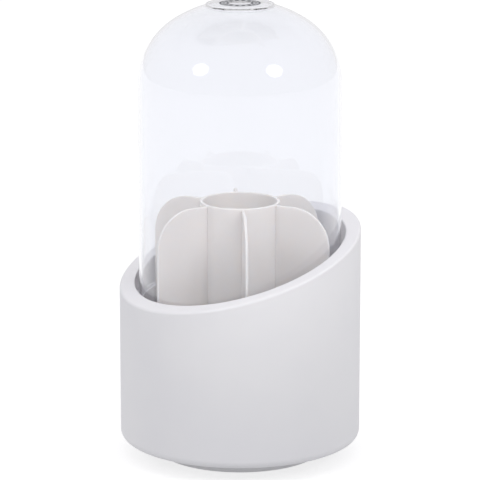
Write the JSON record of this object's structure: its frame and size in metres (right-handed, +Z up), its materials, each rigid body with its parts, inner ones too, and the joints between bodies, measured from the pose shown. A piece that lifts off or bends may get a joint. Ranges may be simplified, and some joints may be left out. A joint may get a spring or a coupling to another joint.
{
  "type": "cosmetic brush holder",
  "caption": "Round holder for cosmetic brushes with a slanted casing on a ball-bearing foot, a finned divider and a clear domed dust cover.",
  "frame": {"origin": "centre of the plane that the foot's pads rest on", "axes": "+Z up along the turning axis; +Y towards the high side of the casing's slanted rim; X = 0 is the mirror plane"},
  "size_m": [0.13, 0.13, 0.246],
  "materials": {
    "clear_cover": "clear polished polystyrene, moulded",
    "white_casing": "matt white ABS, fine spark-eroded texture",
    "milky_divider": "milky polypropylene, satin",
    "white_foot": "satin white ABS",
    "natural_cage": "natural acetal",
    "ball_steel": "polished bearing steel",
    "zinc_steel": "zinc-plated steel",
    "pad_rubber": "pale grey rubber"
  },
  "bodies": {
    "foot": {"turntable_foot": "white_foot", "foot_pad_1": "pad_rubber", "foot_pad_2": "pad_rubber", "foot_pad_3": "pad_rubber", "foot_pad_4": "pad_rubber"},
    "casing": {"outer_casing": "white_casing", "inner_cup": "white_casing", "bottom_plate": "white_casing", "plate_screws": "zinc_steel", "pivot_washer": "zinc_steel", "pivot_screw": "zinc_steel"},
    "cage": {"ball_cage": "natural_cage"},
    "divider": {"divider": "milky_divider"},
    "cover": {"clear_cover": "clear_cover"},
    "ball_1": {"ball_1": "ball_steel"},
    "ball_2": {"ball_2": "ball_steel"},
    "ball_3": {"ball_3": "ball_steel"},
    "ball_4": {"ball_4": "ball_steel"},
    "ball_5": {"ball_5": "ball_steel"},
    "ball_6": {"ball_6": "ball_steel"},
    "ball_7": {"ball_7": "ball_steel"},
    "ball_8": {"ball_8": "ball_steel"},
    "ball_9": {"ball_9": "ball_steel"},
    "ball_10": {"ball_10": "ball_steel"},
    "ball_11": {"ball_11": "ball_steel"},
    "ball_12": {"ball_12": "ball_steel"}
  },
  "joints": [
    {"name": "casing_turn", "type": "hinge", "parent": "foot", "child": "casing", "pos_m": [0, 0, 0], "axis": [0, 0, 1], "continuous": true},
    {"name": "cage_turn", "type": "hinge", "parent": "foot", "child": "cage", "pos_m": [0, 0, 0.007], "axis": [0, 0, 1], "continuous": true},
    {"name": "divider_lift", "type": "slide", "parent": "casing", "child": "divider", "axis": [0, 0, 1], "range_m": [0, 0.11]},
    {"name": "cover_lift", "type": "slide", "parent": "divider", "child": "cover", "axis": [0, 0, 1], "range_m": [0, 0.16]},
    {"name": "ball_1_roll", "type": "hinge", "parent": "cage", "child": "ball_1", "pos_m": [0.03477, 0.00932, 0.007], "axis": [0.9659, 0.2588, 0], "continuous": true},
    {"name": "ball_2_roll", "type": "hinge", "parent": "cage", "child": "ball_2", "pos_m": [0.02546, 0.02546, 0.007], "axis": [0.7071, 0.7071, 0], "continuous": true},
    {"name": "ball_3_roll", "type": "hinge", "parent": "cage", "child": "ball_3", "pos_m": [0.00932, 0.03477, 0.007], "axis": [0.2588, 0.9659, 0], "continuous": true},
    {"name": "ball_4_roll", "type": "hinge", "parent": "cage", "child": "ball_4", "pos_m": [-0.00932, 0.03477, 0.007], "axis": [-0.2588, 0.9659, 0], "continuous": true},
    {"name": "ball_5_roll", "type": "hinge", "parent": "cage", "child": "ball_5", "pos_m": [-0.02546, 0.02546, 0.007], "axis": [-0.7071, 0.7071, 0], "continuous": true},
    {"name": "ball_6_roll", "type": "hinge", "parent": "cage", "child": "ball_6", "pos_m": [-0.03477, 0.00932, 0.007], "axis": [-0.9659, 0.2588, 0], "continuous": true},
    {"name": "ball_7_roll", "type": "hinge", "parent": "cage", "child": "ball_7", "pos_m": [-0.03477, -0.00932, 0.007], "axis": [-0.9659, -0.2588, 0], "continuous": true},
    {"name": "ball_8_roll", "type": "hinge", "parent": "cage", "child": "ball_8", "pos_m": [-0.02546, -0.02546, 0.007], "axis": [-0.7071, -0.7071, 0], "continuous": true},
    {"name": "ball_9_roll", "type": "hinge", "parent": "cage", "child": "ball_9", "pos_m": [-0.00932, -0.03477, 0.007], "axis": [-0.2588, -0.9659, 0], "continuous": true},
    {"name": "ball_10_roll", "type": "hinge", "parent": "cage", "child": "ball_10", "pos_m": [0.00932, -0.03477, 0.007], "axis": [0.2588, -0.9659, 0], "continuous": true},
    {"name": "ball_11_roll", "type": "hinge", "parent": "cage", "child": "ball_11", "pos_m": [0.02546, -0.02546, 0.007], "axis": [0.7071, -0.7071, 0], "continuous": true},
    {"name": "ball_12_roll", "type": "hinge", "parent": "cage", "child": "ball_12", "pos_m": [0.03477, -0.00932, 0.007], "axis": [0.9659, -0.2588, 0], "continuous": true}
  ],
  "couplings": [
    {"joint": "cage_turn", "follows": "casing_turn", "ratio": 0.5},
    {"joint": "ball_1_roll", "follows": "casing_turn", "ratio": -7.2},
    {"joint": "ball_2_roll", "follows": "casing_turn", "ratio": -7.2},
    {"joint": "ball_3_roll", "follows": "casing_turn", "ratio": -7.2},
    {"joint": "ball_4_roll", "follows": "casing_turn", "ratio": -7.2},
    {"joint": "ball_5_roll", "follows": "casing_turn", "ratio": -7.2},
    {"joint": "ball_6_roll", "follows": "casing_turn", "ratio": -7.2},
    {"joint": "ball_7_roll", "follows": "casing_turn", "ratio": -7.2},
    {"joint": "ball_8_roll", "follows": "casing_turn", "ratio": -7.2},
    {"joint": "ball_9_roll", "follows": "casing_turn", "ratio": -7.2},
    {"joint": "ball_10_roll", "follows": "casing_turn", "ratio": -7.2},
    {"joint": "ball_11_roll", "follows": "casing_turn", "ratio": -7.2},
    {"joint": "ball_12_roll", "follows": "casing_turn", "ratio": -7.2}
  ]
}
